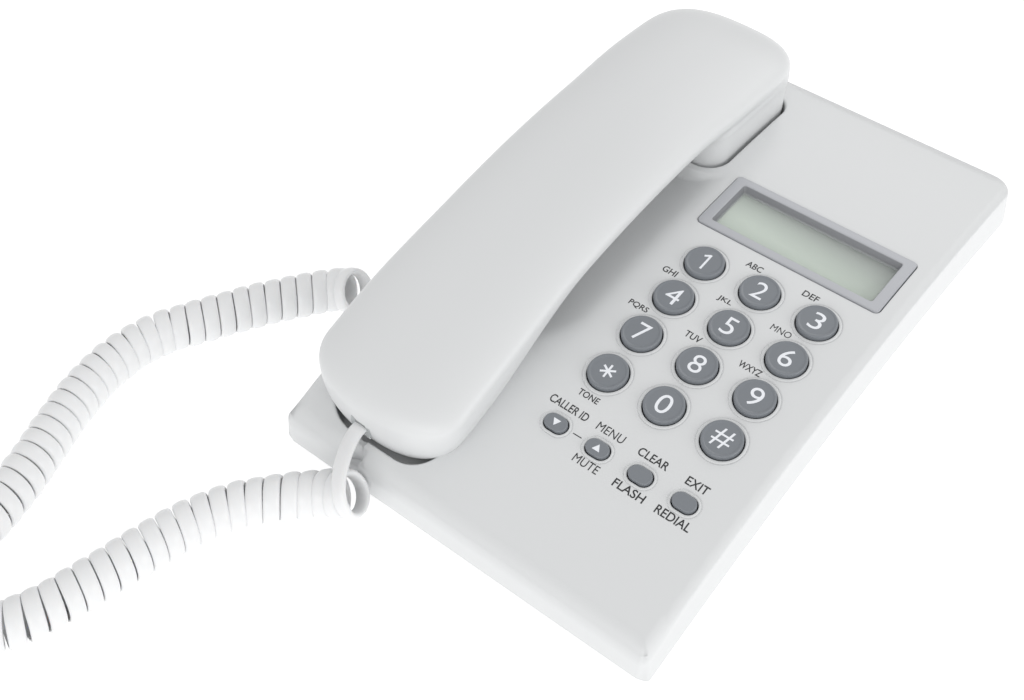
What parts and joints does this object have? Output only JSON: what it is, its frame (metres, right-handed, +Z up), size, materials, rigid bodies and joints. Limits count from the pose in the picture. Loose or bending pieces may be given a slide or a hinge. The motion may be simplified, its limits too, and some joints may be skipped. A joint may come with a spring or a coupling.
{
  "type": "corded desk telephone",
  "caption": "Low arched desk telephone: round number keys, a small display, a handset lying in a cradle on the left and a curly cord from the handset to the base",
  "frame": {"origin": "on the table under the middle of the base's outline, at the underside of the rubber feet", "axes": "+X to the user's right, +Y to the back of the phone, +Z up; the handset lies on the left (-X) side and the front edge faces -Y"},
  "size_m": [0.213, 0.3415, 0.0641],
  "materials": {
    "shell_white": "cool white moulded plastic with a soft satin sheen",
    "case_grey": "light grey moulded plastic, slightly rougher than the top",
    "key_grey": "smooth bluish grey plastic with printed white characters",
    "bezel_silver": "silver grey satin plastic",
    "clear_window": "clear flat window",
    "display_green": "greenish grey liquid crystal panel",
    "inner_plastic": "plain moulded plastic",
    "circuit_board": "green lacquered board",
    "component_black": "black moulded component bodies",
    "jack_plastic": "pale moulded socket body",
    "slider_grey": "dark grey moulded plastic",
    "bright_metal": "zinc plated steel",
    "weight_iron": "plain steel ballast",
    "battery_foil": "printed foil sleeve",
    "rubber_dark": "dark soft rubber",
    "silicone_mat": "translucent grey silicone",
    "ribbon": "flat ribbon and its plug",
    "cord_white": "off-white flexible cord jacket with a slight sheen",
    "plug_clear": "clear moulded plug"
  },
  "bodies": {
    "base": {"upper_case": "shell_white", "lower_case": "case_grey", "lcd_bezel": "bezel_silver", "lcd_window": "clear_window", "lcd_panel": "display_green", "lcd_holder": "inner_plastic", "key_mat": "silicone_mat", "keypad_board": "circuit_board", "main_board": "circuit_board", "board_parts": "component_black", "board_link": "ribbon", "hook_switch": "component_black", "ringer": "component_black", "line_jack": "jack_plastic", "cord_jack": "jack_plastic", "ringer_switch": "component_black", "base_weight": "weight_iron", "battery_cells": "battery_foil", "battery_contacts": "bright_metal", "rubber_feet": "rubber_dark", "case_screws": "bright_metal", "board_screws": "bright_metal", "base_plug": "plug_clear", "base_lead": "cord_white", "cord_coil": "cord_white"},
    "handset": {"handset_outer_shell": "shell_white", "handset_inner_shell": "shell_white", "receiver_capsule": "component_black", "receiver_gasket": "rubber_dark", "mic_capsule": "bright_metal", "mic_boot": "rubber_dark", "handset_weight": "weight_iron", "handset_jack": "component_black", "handset_screws": "bright_metal", "handset_plug": "plug_clear", "handset_lead": "cord_white"},
    "key_star": {"key_star": "key_grey"},
    "key_0": {"key_0": "key_grey"},
    "key_hash": {"key_hash": "key_grey"},
    "key_7": {"key_7": "key_grey"},
    "key_8": {"key_8": "key_grey"},
    "key_9": {"key_9": "key_grey"},
    "key_4": {"key_4": "key_grey"},
    "key_5": {"key_5": "key_grey"},
    "key_6": {"key_6": "key_grey"},
    "key_1": {"key_1": "key_grey"},
    "key_2": {"key_2": "key_grey"},
    "key_3": {"key_3": "key_grey"},
    "key_down": {"key_down": "key_grey"},
    "key_up": {"key_up": "key_grey"},
    "key_clear": {"key_clear": "key_grey"},
    "key_redial": {"key_redial": "key_grey"},
    "hook_plunger": {"hook_plunger": "shell_white"},
    "battery_door": {"battery_door": "case_grey"},
    "ringer_slider": {"ringer_slider": "slider_grey"}
  },
  "joints": [
    {"name": "handset_lift", "type": "slide", "parent": "base", "child": "handset", "axis": [0, 0, 1], "range_m": [0, 0.11]},
    {"name": "hook_plunger_rise", "type": "slide", "parent": "base", "child": "hook_plunger", "axis": [0, 0, 1], "range_m": [0, 0.005]},
    {"name": "battery_door_slide", "type": "slide", "parent": "base", "child": "battery_door", "axis": [0, 1, 0], "range_m": [0, 0.06]},
    {"name": "ringer_slider_slide", "type": "slide", "parent": "base", "child": "ringer_slider", "axis": [0, 1, 0], "range_m": [-0.003, 0.003]},
    {"name": "key_star_press", "type": "slide", "parent": "base", "child": "key_star", "axis": [0, 0.173, -0.9849], "range_m": [0, 0.0012], "stiffness_N_per_m": 600},
    {"name": "key_0_press", "type": "slide", "parent": "base", "child": "key_0", "axis": [0, 0.173, -0.9849], "range_m": [0, 0.0012], "stiffness_N_per_m": 600},
    {"name": "key_hash_press", "type": "slide", "parent": "base", "child": "key_hash", "axis": [0, 0.173, -0.9849], "range_m": [0, 0.0012], "stiffness_N_per_m": 600},
    {"name": "key_7_press", "type": "slide", "parent": "base", "child": "key_7", "axis": [0, 0.1438, -0.9896], "range_m": [0, 0.0012], "stiffness_N_per_m": 600},
    {"name": "key_8_press", "type": "slide", "parent": "base", "child": "key_8", "axis": [0, 0.1438, -0.9896], "range_m": [0, 0.0012], "stiffness_N_per_m": 600},
    {"name": "key_9_press", "type": "slide", "parent": "base", "child": "key_9", "axis": [0, 0.1438, -0.9896], "range_m": [0, 0.0012], "stiffness_N_per_m": 600},
    {"name": "key_4_press", "type": "slide", "parent": "base", "child": "key_4", "axis": [0, 0.1147, -0.9934], "range_m": [0, 0.0012], "stiffness_N_per_m": 600},
    {"name": "key_5_press", "type": "slide", "parent": "base", "child": "key_5", "axis": [0, 0.1147, -0.9934], "range_m": [0, 0.0012], "stiffness_N_per_m": 600},
    {"name": "key_6_press", "type": "slide", "parent": "base", "child": "key_6", "axis": [0, 0.1147, -0.9934], "range_m": [0, 0.0012], "stiffness_N_per_m": 600},
    {"name": "key_1_press", "type": "slide", "parent": "base", "child": "key_1", "axis": [0, 0.0855, -0.9963], "range_m": [0, 0.0012], "stiffness_N_per_m": 600},
    {"name": "key_2_press", "type": "slide", "parent": "base", "child": "key_2", "axis": [0, 0.0855, -0.9963], "range_m": [0, 0.0012], "stiffness_N_per_m": 600},
    {"name": "key_3_press", "type": "slide", "parent": "base", "child": "key_3", "axis": [0, 0.0855, -0.9963], "range_m": [0, 0.0012], "stiffness_N_per_m": 600},
    {"name": "key_down_press", "type": "slide", "parent": "base", "child": "key_down", "axis": [0, 0.2113, -0.9774], "range_m": [0, 0.0012], "stiffness_N_per_m": 600},
    {"name": "key_up_press", "type": "slide", "parent": "base", "child": "key_up", "axis": [0, 0.2113, -0.9774], "range_m": [0, 0.0012], "stiffness_N_per_m": 600},
    {"name": "key_clear_press", "type": "slide", "parent": "base", "child": "key_clear", "axis": [0, 0.2113, -0.9774], "range_m": [0, 0.0012], "stiffness_N_per_m": 600},
    {"name": "key_redial_press", "type": "slide", "parent": "base", "child": "key_redial", "axis": [0, 0.2113, -0.9774], "range_m": [0, 0.0012], "stiffness_N_per_m": 600}
  ],
  "couplings": [
    {"joint": "hook_plunger_rise", "follows": "handset_lift", "ratio": 0.045}
  ]
}
